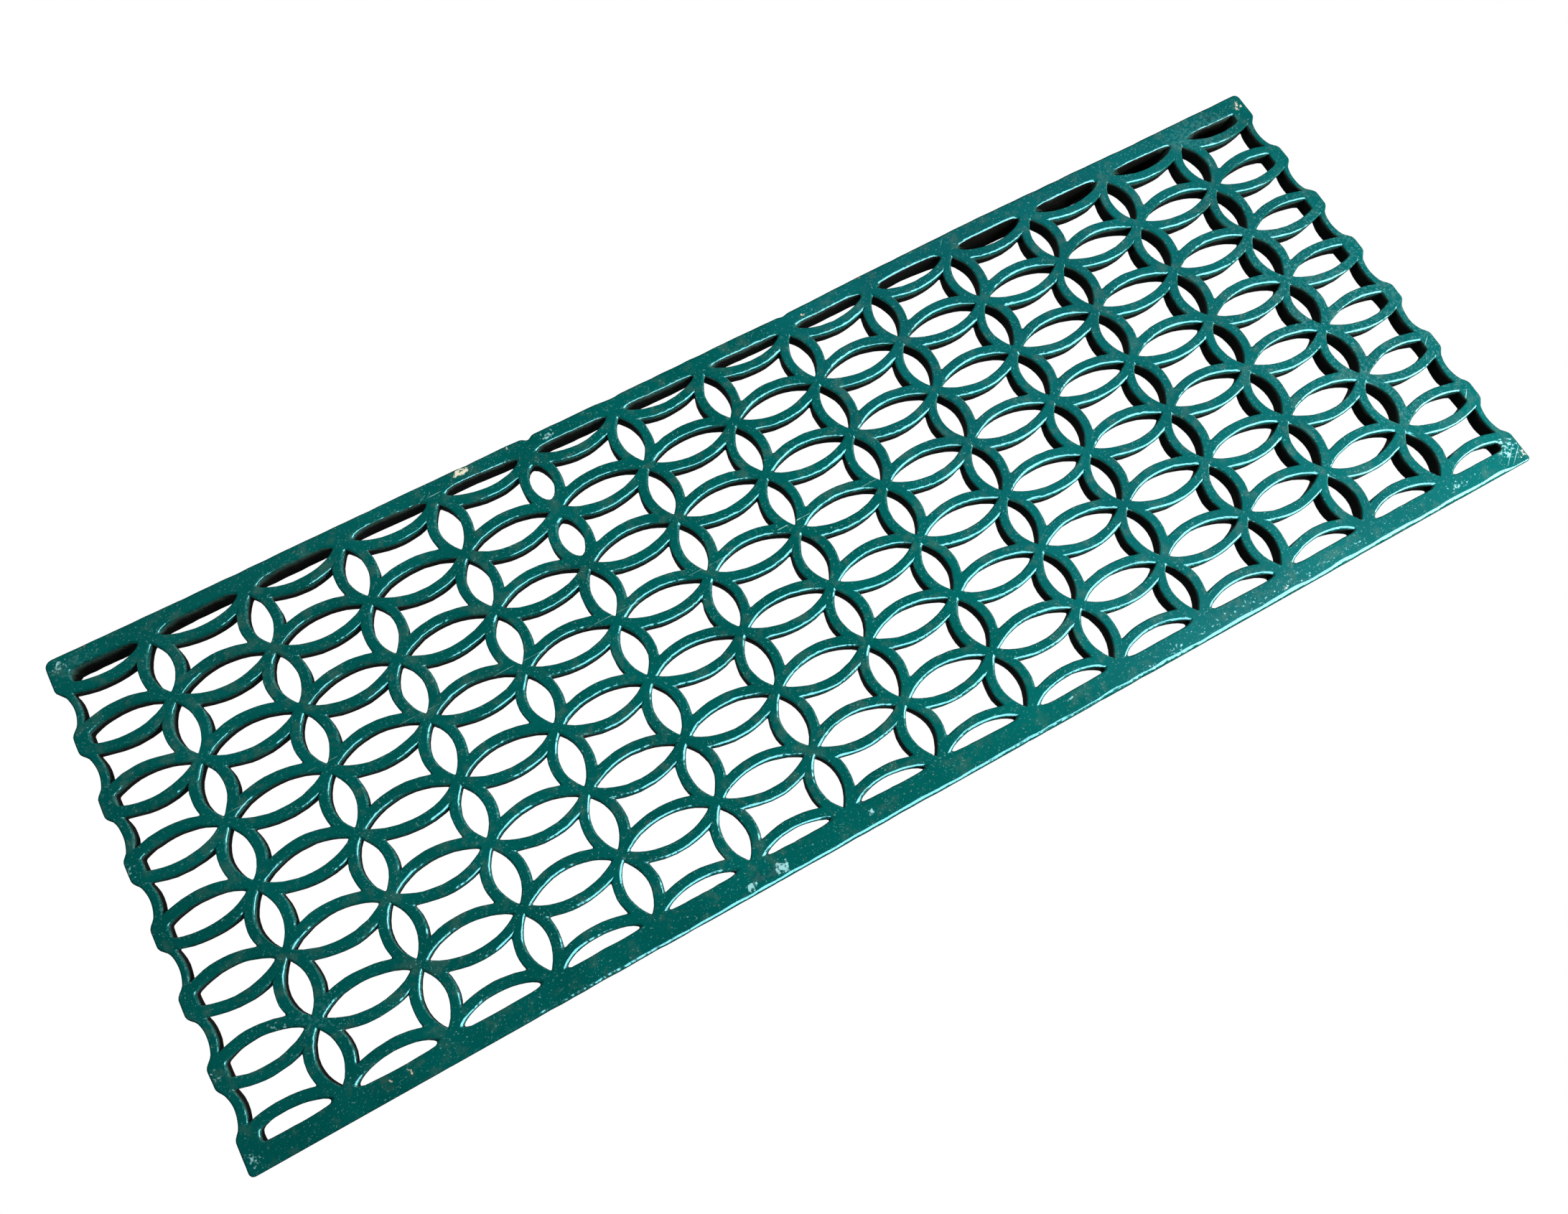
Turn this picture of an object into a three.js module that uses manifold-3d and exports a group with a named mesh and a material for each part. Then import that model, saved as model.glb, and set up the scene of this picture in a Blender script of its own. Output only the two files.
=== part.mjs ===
// A cast iron floor grille: one casting, a flat lattice of interlaced oval rings between two long rails.
// Millimetres, +Z up. X runs along the length and Y across it, from the near rail to the far rail.
// The origin is under the middle of the grille, on the plane that it rests on.
import * as THREE from "three";
import Module from "manifold-3d";

// The lattice. Rings meet four at a time in nodes, and one ring is centred on each cell between four nodes.
const COLUMNS = 14;
const ROWS = 7;
const PITCH_ALONG = 65.6; // node to node along X
const PITCH_ACROSS = 42.8; // node to node along Y
const RING_SWELL = 10.6; // how far a ring bulges past its nodes, along X
const RIB_WIDTH = 7.0; // width of a ring's iron at the top face
const THICKNESS = 12.7;
const WALL_DRAFT = 0.9; // how far the wall of each opening leans back, from the top face to the underside

// The rails along the two long sides, from the outermost rows of nodes.
const NEAR_RAIL_INSIDE = 1.2; // how far outside its row of nodes the rail's inner face is
const NEAR_RAIL_WIDTH = 14.1;
const NEAR_PETAL_CORNER = 3.2; // how far from its tip a half petal is cut off, where it meets the rail
const FAR_RAIL_INSIDE = 3.4;
const FAR_RAIL_WIDTH = 12.1;
const FAR_PETAL_CORNER = 2.0;

// The two short ends, from the outermost columns of nodes.
const END_TRIM = 2.0; // how far inside the nodes the knuckles and the rails stop
const END_RIB = 4.8; // width of the thinner arcs that close the ends
const KNUCKLE_NOSE = 8.8; // height of a knuckle's blunt nose
const KNUCKLE_FOOT = 23.0; // height of a knuckle where it has run out into the arcs
const PETAL_STOP = 13.4; // how far inside the nodes the end petals stop, in a blunt end
const CORNER_RADIUS = 3.0;

// Straight steps that stand for each curve.
const PETAL_STEPS = 3;
const STAR_STEPS = 2;
const END_STEPS = 4;
const CORNER_STEPS = 2;

const SOLVER_STEPS = 50;
const SAME_POINT = 1e-3;

const ringX = PITCH_ALONG / 2 + RING_SWELL;
const nodeTurn = Math.acos(PITCH_ALONG / 2 / ringX);
const ringY = PITCH_ACROSS / 2 / Math.sin(nodeTurn); // so that every ring runs through its four nodes
const latticeLength = COLUMNS * PITCH_ALONG;
const latticeWidth = ROWS * PITCH_ACROSS;
const nearEdge = -NEAR_RAIL_INSIDE - NEAR_RAIL_WIDTH;
const farEdge = latticeWidth + FAR_RAIL_INSIDE + FAR_RAIL_WIDTH;

// Where a function that changes sign between low and high is zero.
function solve(fn, low, high) {
  const sign = Math.sign(fn(low));
  for (let step = 0; step < SOLVER_STEPS; step++) {
    const middle = (low + high) / 2;
    if (Math.sign(fn(middle)) === sign) low = middle;
    else high = middle;
  }
  return (low + high) / 2;
}

// A point of the curve that runs offset outside the middle line of a ring's iron, from the ring's centre.
function ringPoint(turn, offset) {
  const normal = new THREE.Vector2(Math.cos(turn) / ringX, Math.sin(turn) / ringY).normalize();
  return new THREE.Vector2(ringX * Math.cos(turn), ringY * Math.sin(turn)).addScaledVector(normal, offset);
}

// The turn at which that curve is x to the right of the ring's centre, in its upper half.
const turnAtX = (x, offset) => solve((turn) => ringPoint(turn, offset).x - x, 0, Math.PI);

// The turn at which that curve is y above the ring's centre, in its right half.
const turnAtY = (y, offset) => solve((turn) => ringPoint(turn, offset).y - y, -Math.PI / 2, Math.PI / 2);

// Points along that curve from one turn to another, both ends included, moved by x and y. The points between
// the ends stand out a little from it, so that the straight steps enclose as much as the curve does.
function ringArc(from, to, steps, offset, x, y) {
  const step = (to - from) / steps;
  const middle = (from + to) / 2;
  const chord = ringPoint(middle - step / 2, offset).add(ringPoint(middle + step / 2, offset));
  const sagitta = ringPoint(middle, offset).distanceTo(chord.divideScalar(2));
  const stand = (sagitta * 2 * steps) / (3 * (steps - 1));
  const points = [];
  for (let i = 0; i <= steps; i++) {
    const between = i > 0 && i < steps;
    const point = ringPoint(from + i * step, between ? offset + stand : offset);
    points.push(point.add(new THREE.Vector2(x, y)));
  }
  return points;
}

const turnedHalf = (points) => points.map((p) => new THREE.Vector2(-p.x, -p.y));
const flippedY = (points) => points.map((p) => new THREE.Vector2(p.x, -p.y)).reverse();

// A closed outline without the points that repeat the one before them.
function distinct(points) {
  return points.filter((p, i) => p.distanceTo(points[(i + 1) % points.length]) > SAME_POINT);
}

// Every opening below is an anticlockwise outline about its own centre. lean is how much narrower the iron
// beside it has become at the height of the outline.

// An upright petal, in the overlap of two rings side by side.
function uprightPetal(lean) {
  const inside = lean - RIB_WIDTH / 2;
  const tip = turnAtX(PITCH_ALONG / 2, inside);
  const right = ringArc(-tip, tip, PETAL_STEPS, inside, -PITCH_ALONG / 2, 0);
  return distinct([...right, ...turnedHalf(right)]);
}

// The turn at the right end of a level petal: its tip, or the blunt end where it is stopped at the grille's end.
function petalEnd(inside, lean, stopped) {
  const stop = PITCH_ALONG / 2 - PETAL_STOP + lean;
  return stopped ? turnAtX(stop, inside) : turnAtY(PITCH_ACROSS / 2, inside);
}

// A level petal, in the overlap of two rings one above the other.
function levelPetal(lean, stops) {
  const inside = lean - RIB_WIDTH / 2;
  const from = petalEnd(inside, lean, stops.right);
  const to = Math.PI - petalEnd(inside, lean, stops.left);
  const top = ringArc(from, to, PETAL_STEPS, inside, 0, -PITCH_ACROSS / 2);
  return distinct([...top, ...flippedY(top)]);
}

// The upper half of a level petal, cut off straight by a rail whose inner face is depth below the petal's axis.
function halfPetal(lean, stops, depth, corner) {
  const inside = lean - RIB_WIDTH / 2;
  const tip = ringPoint(turnAtY(PITCH_ACROSS / 2, inside), inside).x - corner;
  const stop = PITCH_ALONG / 2 - PETAL_STOP + lean;
  const right = stops.right ? stop : tip;
  const left = stops.left ? -stop : -tip;
  const top = ringArc(turnAtX(right, inside), turnAtX(left, inside), PETAL_STEPS, inside, 0, -PITCH_ACROSS / 2);
  return [...top, new THREE.Vector2(left, -depth - lean), new THREE.Vector2(right, -depth - lean)];
}

// The four-pointed star in the middle of a cell, between the rings on its four sides.
function star(lean) {
  const outside = RIB_WIDTH / 2 - lean;
  const gapAt = (turn) => {
    const point = ringPoint(turn, outside);
    return point.y + ringPoint(turnAtX(PITCH_ALONG - point.x, outside), outside).y - PITCH_ACROSS;
  };
  const turn = solve(gapAt, 0, nodeTurn);
  const right = ringArc(Math.PI + turn, Math.PI - turn, STAR_STEPS, outside, PITCH_ALONG, 0);
  const topTurn = turnAtX(right.at(-1).x, outside);
  const top = ringArc(-topTurn, topTurn - Math.PI, STAR_STEPS, outside, 0, PITCH_ACROSS);
  return distinct([...right, ...top, ...turnedHalf(right), ...turnedHalf(top)]);
}

// The rounded corner of a rail, from its turn at start onwards.
function railCorner(x, y, start) {
  const points = [];
  for (let step = 0; step <= CORNER_STEPS; step++) {
    const turn = start + ((Math.PI / 2) * step) / CORNER_STEPS;
    points.push(new THREE.Vector2(x + CORNER_RADIUS * Math.cos(turn), y + CORNER_RADIUS * Math.sin(turn)));
  }
  return points;
}

// The wavy edge of the left end, from the near rail up to the far rail.
function endWave() {
  const outside = RIB_WIDTH / 2 - END_RIB;
  const reach = turnAtY((PITCH_ACROSS - KNUCKLE_FOOT) / 2, outside);
  const points = [];
  for (let row = 0; row < ROWS; row++) {
    const y = row * PITCH_ACROSS;
    points.push(new THREE.Vector2(END_TRIM, y + KNUCKLE_NOSE / 2));
    points.push(...ringArc(-reach, reach, END_STEPS, outside, -PITCH_ALONG / 2, y + PITCH_ACROSS / 2));
    points.push(new THREE.Vector2(END_TRIM, y + PITCH_ACROSS - KNUCKLE_NOSE / 2));
  }
  return points;
}

// The outline of the whole grille, anticlockwise, with the first node at the origin.
function grilleOutline() {
  const left = END_TRIM + CORNER_RADIUS;
  const right = latticeLength - left;
  const wave = endWave();
  return [
    ...railCorner(left, nearEdge + CORNER_RADIUS, Math.PI),
    ...railCorner(right, nearEdge + CORNER_RADIUS, -Math.PI / 2),
    ...wave.map((p) => new THREE.Vector2(latticeLength - p.x, p.y)),
    ...railCorner(right, farEdge - CORNER_RADIUS, 0),
    ...railCorner(left, farEdge - CORNER_RADIUS, Math.PI / 2),
    ...wave.reverse(),
  ];
}

// A solid as thick as the grille, between an outline on the underside and one of as many points on the top.
function prism(wasm, low, high) {
  const count = low.length;
  const vertices = [];
  for (const p of low) vertices.push(p.x, p.y, 0);
  for (const p of high) vertices.push(p.x, p.y, THICKNESS);
  const triangles = [];
  for (const [a, b, c] of THREE.ShapeUtils.triangulateShape(low, [])) {
    triangles.push(c, b, a, a + count, b + count, c + count);
  }
  for (let i = 0; i < count; i++) {
    const next = (i + 1) % count;
    triangles.push(i, next, next + count, i, next + count, i + count);
  }
  const vertProperties = new Float32Array(vertices);
  const triVerts = new Uint32Array(triangles);
  return new wasm.Manifold(new wasm.Mesh({ numProp: 3, vertProperties, triVerts }));
}

// The solid that cuts one opening, centred at x and y, where shape gives its outline for a lean.
function cutter(wasm, shape, x, y) {
  const placed = (lean) => shape(lean).map((p) => new THREE.Vector2(p.x + x, p.y + y));
  return prism(wasm, placed(WALL_DRAFT), placed(0));
}

// The openings of one column of cells, and of the column of nodes on its left.
function columnCutters(wasm, column) {
  const left = column * PITCH_ALONG;
  const middle = left + PITCH_ALONG / 2;
  const stops = { left: column === 0, right: column === COLUMNS - 1 };
  const nearHalf = (lean) => halfPetal(lean, stops, NEAR_RAIL_INSIDE, NEAR_PETAL_CORNER);
  const farHalf = (lean) => flippedY(halfPetal(lean, stops, FAR_RAIL_INSIDE, FAR_PETAL_CORNER));
  const cutters = [cutter(wasm, nearHalf, middle, 0), cutter(wasm, farHalf, middle, latticeWidth)];
  for (let row = 0; row < ROWS; row++) {
    const y = row * PITCH_ACROSS;
    cutters.push(cutter(wasm, star, middle, y + PITCH_ACROSS / 2));
    if (row > 0) cutters.push(cutter(wasm, (lean) => levelPetal(lean, stops), middle, y));
    if (column > 0) cutters.push(cutter(wasm, uprightPetal, left, y + PITCH_ACROSS / 2));
  }
  return cutters;
}

// The casting: the plate with every opening cut through it.
function castGrille(wasm) {
  const outline = grilleOutline();
  let solid = prism(wasm, outline, outline);
  for (let column = 0; column < COLUMNS; column++) {
    for (const cut of columnCutters(wasm, column)) solid = solid.subtract(cut);
  }
  const { vertProperties, triVerts } = solid.getMesh();
  const geometry = new THREE.BufferGeometry();
  geometry.setAttribute("position", new THREE.BufferAttribute(vertProperties, 3));
  geometry.setIndex(new THREE.BufferAttribute(triVerts, 1));
  geometry.translate(-latticeLength / 2, -(nearEdge + farEdge) / 2, 0);
  geometry.computeVertexNormals();
  return geometry;
}

const wasm = await Module();
wasm.setup();

const enamel = new THREE.MeshStandardMaterial({ color: 0x045a50, roughness: 0.3, metalness: 0 });
const grille = new THREE.Mesh(castGrille(wasm), enamel);
grille.name = "floor_grille";

const part = new THREE.Group();
part.add(grille);

export default part;
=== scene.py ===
"""Looks of a cast iron floor grille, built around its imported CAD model.

The grille is one casting: oval rings interlaced into a lattice between two long rails, under a thick coat of
glossy teal enamel. Plan lengths are in millimetres from the first node of the lattice, at the left end of the
near rail, until the mesh is made in the frame's own metres.
"""

import logging
import math
from collections import defaultdict
from dataclasses import dataclass
from enum import Enum

import bpy
import numpy as np
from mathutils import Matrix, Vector
from mathutils.geometry import delaunay_2d_cdt


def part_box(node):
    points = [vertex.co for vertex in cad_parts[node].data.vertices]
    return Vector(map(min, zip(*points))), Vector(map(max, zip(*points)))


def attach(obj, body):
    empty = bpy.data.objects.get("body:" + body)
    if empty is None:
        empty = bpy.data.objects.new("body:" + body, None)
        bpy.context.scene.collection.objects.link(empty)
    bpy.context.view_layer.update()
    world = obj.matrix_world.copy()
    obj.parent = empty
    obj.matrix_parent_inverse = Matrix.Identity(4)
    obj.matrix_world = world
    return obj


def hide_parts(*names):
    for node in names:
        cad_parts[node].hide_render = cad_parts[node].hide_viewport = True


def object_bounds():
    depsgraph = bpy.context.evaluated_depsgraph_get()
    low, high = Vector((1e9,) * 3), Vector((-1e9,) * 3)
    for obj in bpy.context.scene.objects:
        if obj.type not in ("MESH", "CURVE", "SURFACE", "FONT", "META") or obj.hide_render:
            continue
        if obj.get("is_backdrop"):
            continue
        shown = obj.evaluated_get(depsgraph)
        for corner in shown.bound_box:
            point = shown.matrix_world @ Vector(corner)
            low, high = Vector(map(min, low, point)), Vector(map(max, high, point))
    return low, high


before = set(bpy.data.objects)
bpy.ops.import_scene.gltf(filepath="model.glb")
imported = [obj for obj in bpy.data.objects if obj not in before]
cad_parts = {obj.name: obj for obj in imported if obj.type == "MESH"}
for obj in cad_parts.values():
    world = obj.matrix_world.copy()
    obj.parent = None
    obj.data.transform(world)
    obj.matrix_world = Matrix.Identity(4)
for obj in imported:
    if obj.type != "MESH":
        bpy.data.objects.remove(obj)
CAD_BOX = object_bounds()

LOG = logging.getLogger("floor_grille")
MM = 0.001
Array = np.ndarray
Tree = bpy.types.NodeTree
Socket = bpy.types.NodeSocket
Coat = tuple[bpy.types.Node, str]  # how much of each place a colour covers, and the colour
NO_IRON = -99.0  # depth inside iron that is far away
BEYOND = 9801.0  # place along the grille that is past its end
DARKENING = "darkening"  # the mesh's own name for how high up its walls the dark coat reaches, which is partly painted shade
PLAN_LOW = np.array([2.0, -15.3])  # the lowest corner of the CAD model's box, in plan
PLAN_ORIGIN = np.array([459.2, 149.9])  # the frame's origin, in plan
# An edge is worn to a slope of about 30 degrees before it turns down. These are the depth and set-back of
# each step for a unit of fillet, and then how far the surface has turned from level at each step, on the
# wall's foot and on the underside.
EDGE_STEPS = ((0.0, 1.0), (0.03, 0.85), (0.29, 0.38), (0.5, 0.17), (1.05, 0.0))
EDGE_TURNS = (0, 21, 36, 60, 90, 97, 150)
WALL_STEP = 3  # the step at which an edge counts as wall


def linear(hex_colour: str) -> tuple[float, float, float, float]:
    """Turns an sRGB hex colour into the linear colour that a shader takes.

    Args:
        hex_colour: Six hex digits after a hash sign.

    Returns:
        Linear red, green, blue and an alpha of one.
    """
    channels = [int(hex_colour[i : i + 2], 16) / 255 for i in (1, 3, 5)]
    red, green, blue = (c / 12.92 if c <= 0.04045 else ((c + 0.055) / 1.055) ** 2.4 for c in channels)
    return red, green, blue, 1.0


def add_node(tree: Tree, kind: str, inputs: dict | None = None, **settings) -> bpy.types.Node:
    """Adds a node with its settings, values and links.

    Args:
        tree: Node tree that the node goes into.
        kind: The node's type.
        inputs: For each input by its name or number, its value, an output socket to link, or a node whose
            first output to link.
        **settings: Properties of the node itself.

    Returns:
        The new node.
    """
    node = tree.nodes.new(kind)
    for name, value in settings.items():
        setattr(node, name, value)
    for key, value in (inputs or {}).items():
        source = value.outputs[0] if isinstance(value, bpy.types.Node) else value
        if isinstance(source, Socket):
            tree.links.new(source, node.inputs[key])
        else:
            node.inputs[key].default_value = source
    return node


def empty_tree(owner: bpy.types.ID) -> Tree:
    """Gives a material or a world an empty node tree.

    Args:
        owner: The material or world.

    Returns:
        Its node tree.
    """
    owner.use_nodes = True
    owner.node_tree.nodes.clear()
    return owner.node_tree


def add_object(name: str, data: bpy.types.ID) -> bpy.types.Object:
    """Adds an object to the scene.

    Args:
        name: Its name.
        data: Its mesh, lamp or camera.

    Returns:
        The object.
    """
    added = bpy.data.objects.new(name, data)
    bpy.context.scene.collection.objects.link(added)
    return added


def smooth_step(share: Array) -> Array:
    """Eases from 0 to 1 as share goes from 0 to 1."""
    held = np.clip(share, 0, 1)
    return held * held * (3 - 2 * held)


class Row(Enum):
    """The row of nodes that a place on a rail is measured from."""

    NEAR = "near"
    FAR = "far"


class OpeningKind(Enum):
    """The openings of the lattice."""

    STAR = "star"
    LEVEL_PETAL = "level_petal"
    UPRIGHT_PETAL = "upright_petal"
    NEAR_HALF_PETAL = "near_half_petal"
    FAR_HALF_PETAL = "far_half_petal"


class Wear(Enum):
    """What has happened to the paint at a worn place. At a few places, haze and scuffs are painted sheen and
    sparkle.
    """

    CHIP = "chip"
    SCUFF_AND_SPARKLE = "scuff_and_sparkle"
    STAIN = "stain"
    RUST = "rust"
    BLOOM = "haze_and_sheen"  # a pale haze that leaves the gloss as it is, and over the right end a painted sheen


class Noise(Enum):
    """The paint's noises: size of the blotches in millimetres, and how much finer noise they carry."""

    PEEL = (2.1, 1.5)  # orange peel
    SAG = (6.0, 1.0)  # slow waves where the paint ran
    CLOUD = (55.0, 4.0)  # thinner and thicker paint
    BREAK = (7.0, 5.0)  # gaps in a scratch
    FILM = (9.0, 5.0)
    FLECK = (1.1, 5.0)
    GRAIN = (1.3, 4.0)  # breaks up the painted sheen on edges that face right
    SKIN = (2.2, 6.0)  # edges of scuffs and haze, and of the painted sheen and sparkle among them
    STAIN = (5.0, 6.0)
    RUST = (2.0, 6.0)
    CHIP = (2.8, 6.0)
    DUST = (1.8, 4.0)
    # upper edge of the dark coat on the walls, which is partly painted shade
    DARK_COAT = (6.0, 4.0)


@dataclass(frozen=True)
class Unevenness:
    """Soft unevenness as a hand-rammed sand mould leaves it: a seeded sum of plane waves."""

    seed: int
    shortest: float
    longest: float
    height: float  # root mean square
    waves: int = 16

    def at(self, x: Array, y: Array) -> Array:
        """Measures the unevenness at plan points.

        Args:
            x: Places along the grille.
            y: Places across it.

        Returns:
            Height at each point, in millimetres.
        """
        chance = np.random.default_rng(self.seed)
        lengths = chance.uniform(self.shortest, self.longest, self.waves)
        turns = chance.uniform(0, 2 * math.pi, self.waves)
        phases = chance.uniform(0, 2 * math.pi, self.waves)
        total = np.zeros(np.broadcast(x, y).shape)
        for length, turn, phase in zip(lengths, turns, phases):
            along = x * math.cos(turn) + y * math.sin(turn)
            total += np.cos(2 * math.pi * along / length + phase)
        return self.height * total / math.sqrt(self.waves / 2)


@dataclass(frozen=True)
class Lump:
    """A small lump of extra iron at the edge of an opening."""

    x: float
    y: float
    radius: float


@dataclass(frozen=True)
class Lattice:
    """Where the iron of the rings and the rails' inner faces lies, in plan."""

    columns: int = 14
    rows: int = 7
    pitch_along: float = 65.6
    pitch_across: float = 42.8
    ring_swell: float = 10.6
    rib_width: float = 7.0
    # Inner faces of the rails as places along the grille and heights over the row of nodes.
    near_inner: tuple[tuple[float, float], ...] = (
        (0, -1.5), (165, -1.3), (230, 0.2), (360, 1.4), (430, 1.1), (500, 0.2), (560, -0.8), (918, -0.4),
    )
    far_inner: tuple[tuple[float, float], ...] = (
        (0, 3.8), (160, 4.6), (290, 3.4), (360, 2.4), (425, 1.4), (560, 2.0), (625, 3.2), (760, 2.9),
        (918, 1.2),
    )
    # How far the far rail's inner face leans out at its foot, along the grille.
    far_foot: tuple[tuple[float, float], ...] = (
        (0, 5.4), (98, 3.9), (164, 4.2), (230, 3.2), (295, 2.1), (361, 3.4), (492, 2.2), (557, 2.7),
        (623, 2.8), (672, 6.3), (840, 6.5), (918, 5.6),
    )
    lumps: tuple[Lump, ...] = (Lump(23.0, 181.2, 3.2),)
    slow_drift: tuple[Unevenness, Unevenness] = (
        Unevenness(3, 34, 90, 0.22), Unevenness(4, 34, 90, 0.22),
    )
    quick_drift: tuple[Unevenness, Unevenness] = (
        Unevenness(5, 7, 14, 0.07), Unevenness(6, 7, 14, 0.07),
    )

    @property
    def ring_x(self) -> float:
        """Half the length of a ring's middle line."""
        return self.pitch_along / 2 + self.ring_swell

    @property
    def ring_y(self) -> float:
        """Half the height of a ring's middle line, so that it runs through its four nodes."""
        return self.pitch_across / 2 / math.sin(math.acos(self.pitch_along / 2 / self.ring_x))

    @property
    def length(self) -> float:
        """From the first column of nodes to the last."""
        return self.columns * self.pitch_along

    @property
    def width(self) -> float:
        """From the nearest row of nodes to the furthest."""
        return self.rows * self.pitch_across

    def drifted(self, x: Array, y: Array) -> tuple[Array, Array]:
        """Moves plan points by the mould's unevenness.

        Args:
            x: Places along the grille.
            y: Places across it.

        Returns:
            The moved places, along and across.
        """
        moved_x = x + self.slow_drift[0].at(x, y) + self.quick_drift[0].at(x, y)
        moved_y = y + self.slow_drift[1].at(x, y) + self.quick_drift[1].at(x, y)
        return moved_x, moved_y

    def iron_depths(self, x: Array, y: Array, sunk: float = 0.0) -> list[Array]:
        """Measures how deep each point lies inside each piece of iron near it.

        Args:
            x: Places along the grille.
            y: Places across it.
            sunk: How far down the casting the points are, from 0 at the show face to 1 at the underside.

        Returns:
            One array of depths for each ring round the points, each rail and each lump. A depth is negative
            in the open.
        """
        column = np.floor(x / self.pitch_along)
        row = np.floor(y / self.pitch_across)
        depths = []
        for across in (-1, 0, 1):
            for along in (-1, 0, 1):
                ring_column, ring_row = column + along, row + across
                within = (np.abs(ring_column - self.columns / 2 + 0.5) < self.columns / 2 + 1) & (
                    np.abs(ring_row - self.rows / 2 + 0.5) < self.rows / 2 + 1
                )
                dx = x - (ring_column + 0.5) * self.pitch_along
                dy = y - (ring_row + 0.5) * self.pitch_across
                reach = np.sqrt((dx / self.ring_x) ** 2 + (dy / self.ring_y) ** 2) + 1e-9
                slope = np.sqrt((dx / self.ring_x**2) ** 2 + (dy / self.ring_y**2) ** 2) / reach + 1e-9
                depth = self.rib_width / 2 - np.abs(reach - 1) / slope
                depths.append(np.where(within, depth, NO_IRON))
        depths.append(np.interp(x, *zip(*self.near_inner)) - y)
        lean = sunk * np.interp(x, *zip(*self.far_foot))
        depths.append(y - self.width - np.interp(x, *zip(*self.far_inner)) + lean)
        for lump in self.lumps:
            depths.append(lump.radius - np.hypot(x - lump.x, y - lump.y))
        return depths


def joined(depths: list[Array], softness: Array | float) -> Array:
    """Joins pieces of iron with soft inner corners.

    Args:
        depths: Depth of every point inside each piece.
        softness: How far the corners between them are filled, in millimetres.

    Returns:
        Depth of every point inside the joined iron.
    """
    stack = np.stack([np.broadcast_to(d, np.broadcast(*depths).shape) for d in depths])
    deepest = stack.max(axis=0)
    return deepest + softness * np.log(np.exp((stack - deepest) / softness).sum(axis=0))


@dataclass(frozen=True)
class OpeningShape:
    """What the openings of one kind share."""

    points: int  # round its edge
    softness: float  # how far its corners are filled, in millimetres
    stretch: float = 1.0  # how much taller than the rings alone would make it


OPENING_SHAPES = {
    OpeningKind.STAR: OpeningShape(44, 0.5),
    OpeningKind.LEVEL_PETAL: OpeningShape(32, 0.45),
    OpeningKind.UPRIGHT_PETAL: OpeningShape(28, 0.22, 1.045),
    OpeningKind.NEAR_HALF_PETAL: OpeningShape(32, 1.25),
    OpeningKind.FAR_HALF_PETAL: OpeningShape(32, 0.95),
}
OVAL_SHAPE = OpeningShape(28, 2.0, 1.03)  # two upright petals whose corners the iron has filled


@dataclass(frozen=True)
class Opening:
    """One opening of the lattice, by its centre and where iron at an end stops it."""

    x: float
    y: float
    shape: OpeningShape
    stop_left: float | None = None
    stop_right: float | None = None


@dataclass(frozen=True)
class EdgeProfile:
    """The section of an edge: a fillet under the show face, a leaning wall and a small foot."""

    fillet: float
    lean: float
    foot: float
    foot_height: float = 0.8

    def steps(self, thickness: float) -> list[tuple[float, float, float]]:
        """Lists the section from the show face down.

        Args:
            thickness: Height of the casting.

        Returns:
            For each step, its depth for a unit of fillet, its set-back for a unit of fillet, and the fixed
            part of that set-back. The depth of the steps below the fillet is given as a negative number.
        """
        fillet_steps = [(depth, set_back, 0.0) for depth, set_back in EDGE_STEPS]
        wall = (self.foot_height - thickness, 0.0, self.lean)
        return [*fillet_steps, wall, (-thickness, 0.0, self.lean + self.foot)]


@dataclass(frozen=True)
class EndEdge:
    """The wavy edge of a short end, as distances inside its outermost column of nodes."""

    noses: tuple[float, ...]  # at each row of nodes, from the near rail
    recesses: tuple[float, ...]  # between the rows
    near_corner: float
    far_corner: float
    nose_half: float = 4.6
    foot_half: float = 11.2

    def inside(self, lattice: Lattice, y: Array) -> Array:
        """Measures how far inside the column of nodes the edge is.

        Args:
            lattice: The lattice that the edge closes.
            y: Places across the grille.

        Returns:
            Distance of the edge inside the column at each place.
        """
        row = np.clip(np.round(y / lattice.pitch_across), 0, lattice.rows).astype(int)
        cell = np.clip(np.floor(y / lattice.pitch_across), 0, lattice.rows - 1).astype(int)
        from_row = np.abs(y - row * lattice.pitch_across)
        from_row = np.where((y < 0) | (y > lattice.width), 0, from_row)
        from_middle = y - (cell + 0.5) * lattice.pitch_across
        rounding = np.sqrt(np.clip(1 - (from_middle / lattice.ring_y) ** 2, 0, 1))
        arc = np.array(self.recesses)[cell] - lattice.ring_x * (1 - rounding)
        nose = np.array(self.noses)[row]
        even = np.clip((from_row - self.nose_half) / (self.foot_half - self.nose_half), 0, 1)
        return nose + (arc - nose) * (even + smooth_step(even)) / 2


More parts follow.
